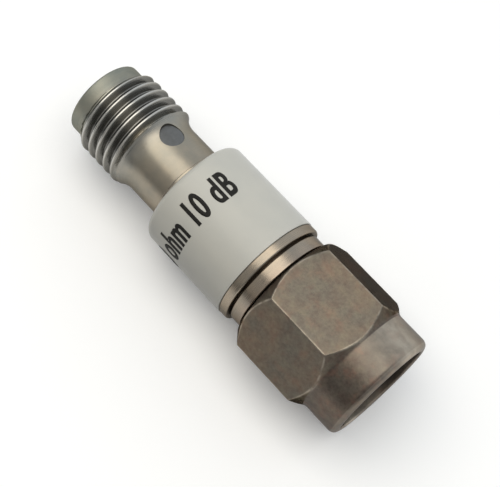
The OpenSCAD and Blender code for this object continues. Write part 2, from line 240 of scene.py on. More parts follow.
# Turned metal: stops along the axis are (place, colour) and (place, added roughness)
EDGE_TINT = 0.4
TURNED_ROUGH = (0.21, 0.34)
TOOL_LINE_SCALES = (22.0, 0.35, 22.0)
TOOL_LINE_DEPTH = 0.006
BLOTCH_SCALE = 0.8
BLOTCH_SHADES = [(0.32, (0.84, 0.86, 0.88)), (0.66, (1.06, 1.02, 0.98))]
# Painted highlight on the thread's crests and painted shade in its grooves
THREAD_HIGHLIGHT_AND_SHADE = {"groove": (0.21, 0.206, 0.193), "crest": (0.52, 0.507, 0.476)}
SHELL_TINTS = [
    (0.0, (0.29, 0.3, 0.26)), (LEAD_LEN, (0.3, 0.3, 0.26)), (LEAD_LEN + 0.6, (0.33, 0.325, 0.3)),
    (THREAD_END, (0.33, 0.32, 0.29)), (RESIN_POS, (0.335, 0.31, 0.258)), (SEAM, (0.33, 0.295, 0.24)),
]
LEAD_DULL = 0.22
NECK_DULL = 0.07
SHELL_DULL = [
    (0.0, LEAD_DULL), (LEAD_LEN, LEAD_DULL), (LEAD_LEN + 0.1, 0.0),
    (THREAD_END, 0.0), (THREAD_END + 0.4, NECK_DULL), (SEAM, NECK_DULL),
]
RING_TINT = (0.33, 0.285, 0.23)
# Painted shade: a dark band painted into the gap between the housing's rear ring and the plug's flange,
# where shade falls
GAP_SHADE = (0.06, 0.045, 0.035)
GAP_SHADE_EDGE = 0.03
HOUSING_TINTS = [
    (SEAM, (0.36, 0.32, 0.26)), (CAVITY_END + GAP_SHADE_EDGE / 2, RING_TINT),
    (CAVITY_END + GAP_SHADE_EDGE, GAP_SHADE), (FLANGE_START - GAP_SHADE_EDGE, GAP_SHADE),
    (FLANGE_START - GAP_SHADE_EDGE / 2, RING_TINT), (FLANGE_END, (0.33, 0.275, 0.225)),
]

# Nut metal: scales of its noises per millimetre, and what each does to the colour
NUT_PLAIN_ROUGH = 0.45
NUT_ROUGH = (0.32, 0.46)
NUT_GRAIN_SCALE = 5.0
NUT_GRAIN_DEPTH = 0.008
NUT_GRAIN_TONES = ((0.122, 0.105, 0.084), (0.183, 0.157, 0.124))
NUT_CLOUD_SCALE = 0.55
NUT_CLOUD_SHADES = [(0.35, (0.9, 0.92, 0.94)), (0.65, (1.08, 0.99, 0.94))]
NUT_PATCH_SCALE = 2.3
NUT_PATCH_SHADES = [(0.34, (0.9, 0.86, 0.87)), (0.5, (1.0, 1.0, 1.0)), (0.66, (1.1, 1.12, 1.07))]
NUT_SPECK_SCALE = 1.1
NUT_SPECK_RANGE = (0.54, 0.68)
SPECK_RED = (0.21, 0.115, 0.088)
# Painted shade inside the nut's bore
NUT_INSIDE_SHADE = (0.07, 0.068, 0.064)
# Bright colour of rubbed edges and of painted highlights
NUT_WORN_AND_HIGHLIGHT = (0.5, 0.44, 0.36)
NUT_SCUFF_SCALE = 1.6
NUT_SCUFF_RANGE = (0.36, 0.62)
NUT_SCUFF_HIGH = 0.75

# Sleeve plastic
SLEEVE_PLAIN_ROUGH = 0.3
SLEEVE_GLOSS = 0.35
SLEEVE_CLOUD_SCALE = 0.5
SLEEVE_TONES = ((0.455, 0.452, 0.42), (0.49, 0.481, 0.44))
SLEEVE_ROUGH_NOISE = (0.2, 0.8)
SLEEVE_ROUGH = (0.3, 0.34)

# Plain finishes: low tone, high tone, metallic, roughness, grain scale and grain depth
PLAIN_ROUGH_SPREAD = (0.85, 1.15)
PLAIN_FINISHES = {
    "resin_grey": ((0.075, 0.078, 0.08), (0.1, 0.105, 0.11), 0.0, 0.5, 4.0, 0.006),
    "insulator_white": ((0.78, 0.78, 0.74), (0.86, 0.86, 0.83), 0.0, 0.45, 3.0, 0.002),
    "contact_gold": ((0.7, 0.47, 0.16), (0.8, 0.56, 0.22), 1.0, 0.25, 3.0, 0.002),
    "machined_brass": ((0.5, 0.36, 0.14), (0.6, 0.45, 0.2), 1.0, 0.35, 3.0, 0.002),
    "fired_alumina": ((0.78, 0.77, 0.72), (0.86, 0.85, 0.81), 0.0, 0.5, 5.0, 0.002),
    "silicone_red": ((0.42, 0.06, 0.04), (0.5, 0.09, 0.06), 0.0, 0.55, 3.0, 0.003),
    "print_black": ((0.008, 0.0075, 0.007), (0.016, 0.015, 0.013), 0.0, 0.6, 8.0, 0.001),
}
PRINT_GLOSS = 0.2
CAD_FINISHES = {
    "jack_insulator": "insulator_white",
    "plug_insulator": "insulator_white",
    "jack_contact": "contact_gold",
    "plug_contact": "contact_gold",
    "resin_lock": "resin_grey",
    "carrier_upper": "machined_brass",
    "carrier_lower": "machined_brass",
    "retaining_ring": "machined_brass",
    "attenuator_chip": "fired_alumina",
    "gasket": "silicone_red",
}


# Mesh helpers
def new_object(name, data):
    """A new object in the scene."""
    made = bpy.data.objects.new(name, data)
    bpy.context.scene.collection.objects.link(made)
    return made


def evaluated_mesh(source):
    """Mesh of an object with its modifiers and its curve settings applied."""
    bpy.context.view_layer.update()
    return bpy.data.meshes.new_from_object(source.evaluated_get(bpy.context.evaluated_depsgraph_get()))


def ring_grid(x, r, angles):
    """Points of a grid of rings: x and r are in millimetres, angles run from +Z towards -Y."""
    x, r, angles = np.broadcast_arrays(x, r, angles)
    y = -r * np.sin(angles)
    z = r * np.cos(angles)
    return np.stack([JACK_FRONT + x * MM, y * MM, AXIS_Z + z * MM], axis=-1)


def ring_faces(rows, columns):
    """Faces that join each ring to the next and the last ring to the first."""
    i, j = np.meshgrid(np.arange(rows), np.arange(columns), indexing="ij")
    down = (i + 1) % rows
    right = (j + 1) % columns
    quads = np.stack([i * columns + j, i * columns + right, down * columns + right, down * columns + j], -1)
    return quads.reshape(-1, 4).tolist()


def ring_piece(name, x, r, angles, material, body, node):
    """A smooth piece of rings that rides on a body and stands for a CAD node."""
    points = ring_grid(x, r, angles[None, :]).reshape(-1, 3)
    mesh = bpy.data.meshes.new(name)
    mesh.from_pydata([tuple(p) for p in points], [], ring_faces(len(x), len(angles)))
    piece = new_object(name, mesh)
    work = bmesh.new()
    work.from_mesh(mesh)
    bmesh.ops.recalc_face_normals(work, faces=work.faces)
    work.to_mesh(mesh)
    work.free()
    mesh.polygons.foreach_set("use_smooth", [True] * len(mesh.polygons))
    mesh.materials.append(material)
    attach(piece, body)
    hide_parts(node)
    return piece


def even_angles():
    return np.arange(SEGMENTS) * 2 * np.pi / SEGMENTS


def at_every_angle(values, angles):
    """One value per ring, repeated round the ring."""
    return np.repeat(values[:, None], len(angles), 1)


def arc_corner(here, before, after, radius, steps, support=0.03):
    """Points of one rounded corner of a section, with a support point on each side."""
    to_before = np.subtract(before, here)
    to_after = np.subtract(after, here)
    room_before = np.linalg.norm(to_before)
    room_after = np.linalg.norm(to_after)
    to_before = to_before / room_before
    to_after = to_after / room_after
    half = math.acos(np.clip(to_before @ to_after, -1, 1)) / 2
    cut = min(radius / math.tan(half), CORNER_ROOM * room_before, CORNER_ROOM * room_after)
    radius = cut * math.tan(half)
    middle = (to_before + to_after) / np.linalg.norm(to_before + to_after)
    centre = here + middle * radius / math.sin(half)
    start = here + to_before * cut - centre
    end = here + to_after * cut - centre
    first = math.atan2(start[1], start[0])
    turn = (math.atan2(end[1], end[0]) - first + np.pi) % (2 * np.pi) - np.pi
    arc = [centre + radius * np.array([math.cos(a), math.sin(a)])
           for a in np.linspace(first, first + turn, steps + 1)]
    lead_in = here + to_before * min(cut + support, SUPPORT_ROOM * room_before)
    lead_out = here + to_after * min(cut + support, SUPPORT_ROOM * room_after)
    return [lead_in, *arc, lead_out]


def rounded_section(corners, steps=4):
    """Closed section through (place, radius, rounding) corners."""
    spots = [np.array(c[:2], float) for c in corners]
    points = []
    for i, corner in enumerate(corners):
        points += arc_corner(spots[i], spots[i - 1], spots[(i + 1) % len(spots)], corner[2], steps)
    return np.array(points)


def turned_piece(name, corners, material, body, node, steps=4):
    """A turned piece from its closed section."""
    section = rounded_section(corners, steps)
    return ring_piece(name, section[:, :1], section[:, 1:], even_angles(), material, body, node)


def mark_points(piece, marks):
    """Keeps a value per vertex under each name, for the materials to read."""
    for name, values in marks.items():
        attribute = piece.data.attributes.new(name, "FLOAT", "POINT")
        attribute.data.foreach_set("value", values.ravel().astype(np.float32))


# Shader helpers, whose owner is a material or the world
def new_material(name, metallic, roughness):
    material = bpy.data.materials.new(name)
    material.use_nodes = True
    shader = material.node_tree.nodes["Principled BSDF"]
    shader.inputs["Metallic"].default_value = metallic
    shader.inputs["Roughness"].default_value = roughness
    return material, shader


def add_node(owner, kind, **settings):
    node = owner.node_tree.nodes.new(kind)
    for key, value in settings.items():
        setattr(node, key, value)
    return node


def join(owner, source, target):
    owner.node_tree.links.new(source, target)


def set_or_join(owner, value, socket):
    """Gives a socket a number, a colour or a link."""
    if isinstance(value, (int, float)):
        socket.default_value = value
    elif isinstance(value, tuple):
        socket.default_value = (*value, 1.0)
    else:
        join(owner, value, socket)


def math_node(owner, operation, first, second=0.0):
    node = add_node(owner, "ShaderNodeMath", operation=operation)
    for socket, value in zip(node.inputs, (first, second)):
        set_or_join(owner, value, socket)
    return node.outputs[0]


def mix_colours(owner, factor, first, second, blend="MIX"):
    """Mix of two colours, each a socket or a plain colour."""
    node = add_node(owner, "ShaderNodeMix", data_type="RGBA", blend_type=blend)
    for key, kind, value in (("Factor", "VALUE", factor), ("A", "RGBA", first), ("B", "RGBA", second)):
        set_or_join(owner, value, next(i for i in node.inputs if i.name == key and i.type == kind))
    return next(o for o in node.outputs if o.type == "RGBA")


def place_axes(owner, space="Object"):
    """Sockets X, Y and Z of a coordinate space."""
    place = add_node(owner, "ShaderNodeTexCoord")
    split = add_node(owner, "ShaderNodeSeparateXYZ")
    join(owner, place.outputs[space], split.inputs[0])
    return split.outputs


def object_space(owner, scale):
    """Object coordinates in millimetres times a scale."""
    place = add_node(owner, "ShaderNodeTexCoord")
    mapping = add_node(owner, "ShaderNodeMapping")
    mapping.inputs["Scale"].default_value = (scale / MM,) * 3
    join(owner, place.outputs["Object"], mapping.inputs["Vector"])
    return mapping.outputs[0]


def lathe_space(owner, x_scale, angle_scale, r_scale):
    """Coordinates along the axis, round it and out from it, per millimetre and per radian."""
    axes = place_axes(owner)
    height = math_node(owner, "SUBTRACT", axes["Z"], AXIS_Z)
    side_squared = math_node(owner, "MULTIPLY", axes["Y"], axes["Y"])
    height_squared = math_node(owner, "MULTIPLY", height, height)
    radius = math_node(owner, "SQRT", math_node(owner, "ADD", side_squared, height_squared))
    angle = math_node(owner, "ARCTAN2", axes["Y"], height)
    merge = add_node(owner, "ShaderNodeCombineXYZ")
    join(owner, math_node(owner, "MULTIPLY", axes["X"], x_scale / MM), merge.inputs[0])
    join(owner, math_node(owner, "MULTIPLY", angle, angle_scale), merge.inputs[1])
    join(owner, math_node(owner, "MULTIPLY", radius, r_scale / MM), merge.inputs[2])
    return merge.outputs[0]


def noise(owner, vector, detail=3.0, roughness=0.5):
    node = add_node(owner, "ShaderNodeTexNoise")
    node.inputs["Scale"].default_value = 1.0
    node.inputs["Detail"].default_value = detail
    node.inputs["Roughness"].default_value = roughness
    join(owner, vector, node.inputs["Vector"])
    return node.outputs["Fac"]


def ramp(owner, value, stops):
    """Colour ramp through (place, colour) stops."""
    node = add_node(owner, "ShaderNodeValToRGB")
    elements = node.color_ramp.elements
    while len(elements) < len(stops):
        elements.new(0.5)
    for element, (spot, colour) in zip(elements, stops):
        element.position = spot
        element.color = (*colour, 1.0)
    join(owner, value, node.inputs["Fac"])
    return node.outputs["Color"]


def two_tones(owner, value, low, high):
    """Tones spread over the usual part of a noise."""
    return ramp(owner, value, [(NOISE_LOW, low), (NOISE_HIGH, high)])


def spread(owner, value, low, high, out_low, out_high):
    """Linear map from one range to another, clamped."""
    node = add_node(owner, "ShaderNodeMapRange")
    for key, number in (("From Min", low), ("From Max", high), ("To Min", out_low), ("To Max", out_high)):
        node.inputs[key].default_value = number
    join(owner, value, node.inputs["Value"])
    return node.outputs["Result"]


def axis_tint(owner, stops):
    """Colour that changes along the axis through (place in millimetres, colour) stops."""
    first, last = stops[0][0], stops[-1][0]
    x = place_axes(owner)["X"]
    share = spread(owner, x, JACK_FRONT + first * MM, JACK_FRONT + last * MM, 0.0, 1.0)
    return ramp(owner, share, [((spot - first) / (last - first), colour) for spot, colour in stops])


def point_mark(owner, name):
    """Value that mark_points keeps under a name."""
    return add_node(owner, "ShaderNodeAttribute", attribute_name=name).outputs["Fac"]


def bump(owner, shader, height, depth):
    node = add_node(owner, "ShaderNodeBump")
    node.inputs["Distance"].default_value = depth * MM
    join(owner, height, node.inputs["Height"])
    join(owner, node.outputs["Normal"], shader.inputs["Normal"])


# Materials
def turned_metal(name, tints, marks, dull_stops):
    """Satin turned metal: tool lines round the axis, tints along it and slow blotches."""
    material, shader = new_material(name, 1.0, TURNED_ROUGH[0])
    shader.inputs["Specular Tint"].default_value = (EDGE_TINT, EDGE_TINT, EDGE_TINT, 1.0)
    blotch = noise(material, object_space(material, BLOTCH_SCALE), 4.0, 0.6)
    shade = ramp(material, blotch, BLOTCH_SHADES)
    base = mix_colours(material, 1.0, axis_tint(material, tints), shade, "MULTIPLY")
    # Marked points take a painted highlight or painted shade colour, as on the thread
    for mark, colour in marks.items():
        base = mix_colours(material, point_mark(material, mark), base, colour)
    join(material, base, shader.inputs["Base Color"])
    lines = noise(material, lathe_space(material, *TOOL_LINE_SCALES), 2.0)
    rough = spread(material, lines, NOISE_LOW, NOISE_HIGH, *TURNED_ROUGH)
    if dull_stops:
        dull = axis_tint(material, [(spot, (added,) * 3) for spot, added in dull_stops])
        rough = math_node(material, "ADD", rough, dull)
    join(material, rough, shader.inputs["Roughness"])
    bump(material, shader, lines, TOOL_LINE_DEPTH)
    return material


def nut_metal(name, edge_tint, tone, scuff_low, speck_share):
    """Dull mottled metal with reddish specks and bright rubbed edges, with painted highlights on one side
    and painted shade in the bore.
    """
    material, shader = new_material(name, 1.0, NUT_PLAIN_ROUGH)
    shader.inputs["Specular Tint"].default_value = (edge_tint, edge_tint, edge_tint, 1.0)
    grain = noise(material, object_space(material, NUT_GRAIN_SCALE), 5.0, 0.7)
    cloud = noise(material, object_space(material, NUT_CLOUD_SCALE))
    mottle = noise(material, object_space(material, NUT_PATCH_SCALE), 3.0, 0.6)
    speckle = noise(material, object_space(material, NUT_SPECK_SCALE), 4.0, 0.65)
    scratches = noise(material, object_space(material, NUT_SCUFF_SCALE))
    base = two_tones(material, grain, *NUT_GRAIN_TONES)
    cloud_shade = ramp(material, cloud, NUT_CLOUD_SHADES)
    patch_shade = ramp(material, mottle, NUT_PATCH_SHADES)
    for shade in (cloud_shade, patch_shade, tone):
        base = mix_colours(material, 1.0, base, shade, "MULTIPLY")
    specks = spread(material, speckle, *NUT_SPECK_RANGE, 0.0, speck_share)
    base = mix_colours(material, specks, base, SPECK_RED)
    # Painted shade darkens the marked inside of the nut
    base = mix_colours(material, point_mark(material, "inside"), base, NUT_INSIDE_SHADE)
    scuff = spread(material, scratches, *NUT_SCUFF_RANGE, scuff_low, NUT_SCUFF_HIGH)
    bright = math_node(material, "MULTIPLY", point_mark(material, "wear_and_highlight"), scuff)
    join(material, mix_colours(material, bright, base, NUT_WORN_AND_HIGHLIGHT), shader.inputs["Base Color"])
    rough = spread(material, grain, NOISE_LOW, NOISE_HIGH, *NUT_ROUGH)
    join(material, rough, shader.inputs["Roughness"])
    bump(material, shader, grain, NUT_GRAIN_DEPTH)
    return material


def sleeve_plastic():
    """Pale satin shrunk sleeve."""
    material, shader = new_material("sleeve_plastic", 0.0, SLEEVE_PLAIN_ROUGH)
    shader.inputs["Specular IOR Level"].default_value = SLEEVE_GLOSS
    cloud = noise(material, object_space(material, SLEEVE_CLOUD_SCALE))
    join(material, two_tones(material, cloud, *SLEEVE_TONES), shader.inputs["Base Color"])
    rough = spread(material, cloud, *SLEEVE_ROUGH_NOISE, *SLEEVE_ROUGH)
    join(material, rough, shader.inputs["Roughness"])
    return material


def plain_grain(name, low, high, metallic, roughness, scale, depth):
    """Simple two-tone material with fine grain."""
    material, shader = new_material(name, metallic, roughness)
    grain = noise(material, object_space(material, scale), 4.0)
    join(material, two_tones(material, grain, low, high), shader.inputs["Base Color"])
    smooth, coarse = (roughness * share for share in PLAIN_ROUGH_SPREAD)
    rough = spread(material, grain, NOISE_LOW, NOISE_HIGH, smooth, coarse)
    join(material, rough, shader.inputs["Roughness"])
    bump(material, shader, grain, depth)
    return material


shell_metal = turned_metal("shell_metal", SHELL_TINTS, THREAD_HIGHLIGHT_AND_SHADE, SHELL_DULL)
housing_metal = turned_metal("housing_metal", HOUSING_TINTS, {}, [])
nut_finish = nut_metal("nut_metal", edge_tint=0.12, tone=(0.97, 0.97, 0.98),
                       scuff_low=0.1, speck_share=0.2)
skirt_finish = nut_metal("skirt_metal", edge_tint=0.6, tone=(0.85, 0.84, 0.89),
                         scuff_low=0.5, speck_share=0.5)
sleeve_finish = sleeve_plastic()
plain_finishes = {name: plain_grain(name, *values) for name, values in PLAIN_FINISHES.items()}
print_finish = plain_finishes["print_black"]
print_finish.node_tree.nodes["Principled BSDF"].inputs["Specular IOR Level"].default_value = PRINT_GLOSS

for name, finish in CAD_FINISHES.items():
    nodes[name].data.materials.clear()
    nodes[name].data.materials.append(plain_finishes[finish])


# Jack shell
def thread_wave(x, angles, crest_at_top, crest, root):
    """Height of a right-hand thread from 0 at the root to 1 at the crest, with rounded corners."""
    offset = (x - crest_at_top - THREAD_PITCH * angles / (2 * np.pi)) / THREAD_PITCH
    distance = np.abs((offset + 0.5) % 1.0 - 0.5) * THREAD_PITCH
    flank = (THREAD_PITCH - crest - root) / 2
    height = 1 - (distance - crest / 2) / flank
    return (1 + np.hypot(height, CORNER_ROUND) - np.hypot(height - 1, CORNER_ROUND)) / 2


def shell_surface(x):
    """Radius of the jack shell between lead and neck with no groove cut."""
    bevel = LEAD_R + (x - LEAD_LEN)
    run_out = THREAD_R - (x - THREAD_END)
    blend_start = THREAD_END + THREAD_R - NECK_R - NECK_BLEND_RISE
    blend_len = math.sqrt(2 * NECK_BLEND_R * NECK_BLEND_RISE - NECK_BLEND_RISE ** 2)
    to_end = np.clip(blend_start + blend_len - x, 0, blend_len)
    blend = NECK_R + NECK_BLEND_R - np.sqrt(NECK_BLEND_R ** 2 - to_end ** 2)
    body = np.where(x < blend_start, run_out, blend)
    return np.minimum(np.minimum(bevel, THREAD_R), body)


def thread_rows(angles):
    """Rings of the jack's thread and neck."""
    run_out_end = THREAD_END + RUN_OUT_LEN
    x = np.concatenate([np.arange(LEAD_LEN + THREAD_ROW_GAP, run_out_end, THREAD_PITCH / THREAD_ROWS),
                        np.arange(run_out_end, SEAM - NECK_ROW_GAP, NECK_ROW_STEP)])
    lift = THREAD_DEPTH * np.clip((x - THREAD_END + GROOVE_FADE_START) / GROOVE_FADE_LEN, 0, 1) ** 2
    wave = thread_wave(x[:, None], angles[None, :], CREST_AT_TOP, CREST_FLAT, ROOT_FLAT)
    groove = THREAD_R - THREAD_DEPTH * (1 - wave) + lift[:, None] * GROOVE_LIFT
    return at_every_angle(x, angles), np.minimum(shell_surface(x)[:, None], groove)


def shell_rows(angles):
    """Rings of the jack shell: lead, thread, neck and bores."""
    front = [(0, COUNTERBORE_R, BEVELLED), (0, LEAD_R, LEAD_ROUND), (LEAD_LEN, LEAD_R, CRISP)]
    back = [(SEAM, NECK_R, DULLED), (SEAM, SPIGOT_R, CRISP),
            (CAVITY_START, SPIGOT_R, BEVELLED), (CAVITY_START, NARROW_BORE_R, CRISP),
            (JACK_STEP, NARROW_BORE_R, CRISP), (JACK_STEP, WIDE_BORE_R, CRISP),
            (COUNTERBORE_DEPTH, WIDE_BORE_R, CRISP), (COUNTERBORE_DEPTH, COUNTERBORE_R, CRISP)]
    section = rounded_section(front + back)
    split = len(section) * len(front) // len(front + back)
    plain_x = at_every_angle(section[:, 0], angles)
    plain_r = at_every_angle(section[:, 1], angles)
    thread_x, thread_r = thread_rows(angles)
    return (np.vstack([plain_x[:split], thread_x, plain_x[split:]]),
            np.vstack([plain_r[:split], thread_r, plain_r[split:]]))


def cut_resin_hole(shell):
    """Drills the cross hole of the resin lock through one wall of the shell."""
    tilt = math.radians(RESIN_ANGLE)
    out = Vector((0, -math.sin(tilt), math.cos(tilt)))
    middle = Vector((JACK_FRONT + RESIN_POS * MM, 0, AXIS_Z)) + out * NECK_R * MM
    bpy.ops.mesh.primitive_cylinder_add(vertices=DRILL_SIDES, radius=RESIN_R * MM,
                                        depth=NECK_R * MM * DRILL_LEN)
    drill = bpy.context.object
    drill.matrix_world = Matrix.Translation(middle) @ out.to_track_quat("Z", "X").to_matrix().to_4x4()
    hole = shell.modifiers.new("resin_hole", "BOOLEAN")
    hole.object = drill
    hole.solver = "EXACT"
    solved = evaluated_mesh(shell)
    shell.modifiers.clear()
    shell.data = solved
    bpy.data.objects.remove(drill)
    work = bmesh.new()
    work.from_mesh(solved)
    for edge in work.edges:
        edge.smooth = edge.calc_face_angle(0.0) < HOLE_EDGE
    work.to_mesh(solved)
    work.free()


def mark_thread(shell):
    """Marks the crests for a painted highlight and the grooves for painted shade on the jack thread."""
    spots = np.empty(len(shell.data.vertices) * 3)
    shell.data.vertices.foreach_get("co", spots)
    spots = spots.reshape(-1, 3)
    x = along(spots[:, 0])
    r = np.hypot(spots[:, 1], spots[:, 2] - AXIS_Z) / MM
    depth = (shell_surface(x) - r) / THREAD_DEPTH
    fade_in = np.clip((x - LEAD_LEN - MARK_START) / MARK_START_FADE, 0, 1)
    fade_out = np.clip((THREAD_END - MARK_END - x) / MARK_END_FADE, 0, 1)
    zone = fade_in * fade_out * (r > COUNTERBORE_R + MARK_WALL)
    crest = np.clip(1 - depth / CREST_SHARE, 0, 1)
    groove = np.clip((depth - GROOVE_FROM) / GROOVE_SPREAD, 0, 1)
    mark_points(shell, {"crest": crest * zone, "groove": groove * zone})


def build_jack_shell():
    angles = even_angles()
    x, r = shell_rows(angles)
    shell = ring_piece("jack_shell_threaded", x, r, angles, shell_metal, "body", "jack_shell")
    cut_resin_hole(shell)
    mark_thread(shell)


# Housing, sleeve and plug body
def build_housing():
    face = SLEEVE_START + SLEEVE_T + SEAT_GAP
    recess_r = SLEEVE_R - SLEEVE_T - SEAT_GAP
    nose_r = SPIGOT_R + SEAT_GAP
    piece = turned_piece("housing_turned", [
        (SEAM, nose_r, CRISP), (SEAM, COLLAR_R, SOFT), (face, COLLAR_R, CRISP),
        (face, recess_r, SHOULDER_R - SLEEVE_T - SEAT_GAP), (SLEEVE_END, recess_r, SHARP),
        (SLEEVE_END, HOUSING_R, BROKEN), (CAVITY_END, HOUSING_R, HOUSING_END_ROUND),
        (CAVITY_END, CAVITY_R, BROKEN), (CAVITY_START, CAVITY_R, CRISP), (CAVITY_START, nose_r, CRISP),
    ], housing_metal, "body", "housing", steps=6)


def build_sleeve():
    """Shrunk sleeve, whose front edge sits slightly askew, further forward on the +Y side."""
    rim_r = COLLAR_R + SEAT_GAP
    inner = SLEEVE_START + SLEEVE_T
    inner_r = SLEEVE_R - SLEEVE_T
    end = SLEEVE_END - SLEEVE_END_GAP
    piece = turned_piece("sleeve_shrunk", [
        (SLEEVE_START, rim_r, DULLED), (SLEEVE_START, SLEEVE_R, SHOULDER_R), (end, SLEEVE_R, DULLED),
        (end, inner_r, CRISP), (inner, inner_r, SHOULDER_R - SLEEVE_T), (inner, rim_r, CRISP),
    ], sleeve_finish, "body", "label_sleeve", steps=10)
    for v in piece.data.vertices:
        side = max(v.co.y / MM / SLEEVE_R, 0.0)
        fade = max(1 - (along(v.co.x) - SLEEVE_START) / SLEEVE_SKEW_LEN, 0.0)
        v.co.x -= SLEEVE_SKEW * side * fade * MM


def build_plug_body():
    groove_r = JOURNAL_R - RING_GROOVE_DEPTH
    spigot_r = CAVITY_R - SEAT_GAP
    groove_from = RING_START - RING_GAP
    groove_to = RING_END + RING_GAP
    piece = turned_piece("plug_body_turned", [
        (PLUG_START, NARROW_BORE_R, CRISP), (PLUG_START, spigot_r, EASED), (CAVITY_END, spigot_r, SHARP),
        (CAVITY_END, SEAM_STEP_R, SHARP), (FLANGE_START, SEAM_STEP_R, SHARP),
        (FLANGE_START, FLANGE_R, FLANGE_ROUND), (FLANGE_END, FLANGE_R, EASED),
        (FLANGE_END, JOURNAL_R, CRISP), (groove_from, JOURNAL_R, CRISP), (groove_from, groove_r, CRISP),
        (groove_to, groove_r, CRISP), (groove_to, JOURNAL_R, CRISP), (JOURNAL_END, JOURNAL_R, EASED),
        (JOURNAL_END, UNDERCUT_R, CRISP), (UNDERCUT_END, UNDERCUT_R, CRISP),
        (UNDERCUT_END, FERRULE_R, CRISP), (FERRULE_END, FERRULE_R, EASED),
        (FERRULE_END, WIDE_BORE_R, BROKEN), (PLUG_STEP, WIDE_BORE_R, CRISP),
        (PLUG_STEP, NARROW_BORE_R, CRISP),
    ], housing_metal, "body", "plug_body")


# Coupling nut
def soft_min(a, b, width):
    """Smaller of two values with a rounded change-over."""
    share = np.clip(0.5 + 0.5 * (b - a) / width, 0, 1)
    return b + (a - b) * share - width * share * (1 - share)


def hex_angles(per_side=56, crowding=0.8):
    """Angles that crowd towards the corners of the hexagon."""
    u = np.arange(per_side) / per_side * 2 - 1
    sector = HEX_HALF_SIDE * ((1 - crowding) * u + crowding * (1.5 * u - 0.5 * u ** 3))
    return np.concatenate([sector + math.radians(60 * k) for k in range(6)])


def hex_radius(angles, width):
    """Radius of the hexagon with rounded corners, and how near each angle is to a corner."""
    nearest = (angles + HEX_HALF_SIDE) % HEX_SIDE - HEX_HALF_SIDE
    flat = NUT_FLAT_R / np.cos(nearest)
    other = NUT_FLAT_R / np.cos(HEX_SIDE - np.abs(nearest))
    return soft_min(flat, other, width), np.exp(-((other - flat) / width) ** 2)


def nut_outer(angles):
    """Rings of the outer face: bevelled hexagon with rubbed edges, and its hollow change to the skirt."""
    dense = np.arange(BEVEL_ROW_START, BEVEL_ZONE, BEVEL_ROW_STEP)
    flats = np.linspace(BEVEL_ZONE, HEX_LEN - BEVEL_ZONE, FLAT_ROWS)
    foot = HEX_LEN + np.arange(HOLLOW_ROW_STEP, HEX_HOLLOW + BEVEL_ROW_STEP, HOLLOW_ROW_STEP)
    x = np.concatenate([dense, flats, HEX_LEN - dense[::-1], foot])
    cone = SKIRT_R + np.minimum(x, HEX_LEN - x)
    envelope = np.where(x < HEX_LEN / 2, cone, -soft_min(-cone, -SKIRT_R, HEX_HOLLOW))
    hexagon, corner = hex_radius(angles, HEX_EDGE)
    r = soft_min(hexagon[None, :], envelope[:, None], HEX_EDGE)
    on_hexagon = hexagon[None, :] < envelope[:, None] + HEX_EDGE
    wear_and_highlight = np.exp(-((hexagon[None, :] - envelope[:, None]) / HEX_EDGE) ** 2)
    wear_and_highlight = np.maximum(wear_and_highlight, corner[None, :] * on_hexagon)
    return at_every_angle(NUT_START + x, angles), r, wear_and_highlight


def nut_thread(angles):
    """Rings of the inner thread, from the mouth inwards."""
    x = np.arange(NUT_END - MOUTH_DEPTH - NUT_ROW_GAP, NUT_THREAD_START + NUT_ROW_GAP,
                  -THREAD_PITCH / NUT_THREAD_ROWS)
    wave = thread_wave(x[:, None], angles[None, :], NUT_CREST_AT_TOP, NUT_CREST_FLAT, NUT_ROOT_FLAT)
    entry = NUT_THREAD_R + np.clip(x - (NUT_END - MOUTH_DEPTH - NUT_THREAD_ENTRY), 0, 1)
    r = np.maximum(NUT_THREAD_R + NUT_THREAD_DEPTH * (1 - wave), entry[:, None])
    return at_every_angle(x, angles), r


def nut_corners():
    """Corners of the nut's section: rim, foot of the mouth, ends of the thread, and bore."""
    bore_r = JOURNAL_R + JOURNAL_GAP
    groove_from = RING_START - 2 * RING_GAP
    groove_to = RING_END + 2 * RING_GAP
    halfway = RIM_ROUND * (1 - math.sqrt(0.5))
    rim = [(NUT_END - RIM_ROUND, SKIRT_R, RIM_ROUND), (NUT_END - halfway, SKIRT_R - halfway, RIM_ROUND),
           (NUT_END, SKIRT_R - RIM_ROUND, RIM_ROUND), (NUT_END, MOUTH_R, MOUTH_ROUND)]
    mouth = [(NUT_END - MOUTH_DEPTH, MOUTH_R, BROKEN)]
    thread_ends = [(NUT_END - MOUTH_DEPTH, NUT_THREAD_R, SHARP), (NUT_THREAD_START, NUT_THREAD_R, SHARP)]
    bore = [(NUT_THREAD_START, RELIEF_R, BROKEN), (NUT_WALL_END, RELIEF_R, BROKEN),
            (NUT_WALL_END, bore_r, CRISP), (groove_to, bore_r, CRISP), (groove_to, RING_R + RING_GAP, CRISP),
            (groove_from, RING_R + RING_GAP, CRISP), (groove_from, bore_r, CRISP),
            (NUT_START, bore_r, SOFT), (NUT_START, SKIRT_R, SOFT)]
    return rim, mouth, thread_ends, bore


def painted_highlight_side(angles, middle, width):
    """Painted highlight that is 1 at one side of a ring and fades round it, with side and spread in degrees.
    """
    away = (np.degrees(angles) - middle + 180) % 360 - 180
    return np.exp(-(away / width) ** 2)


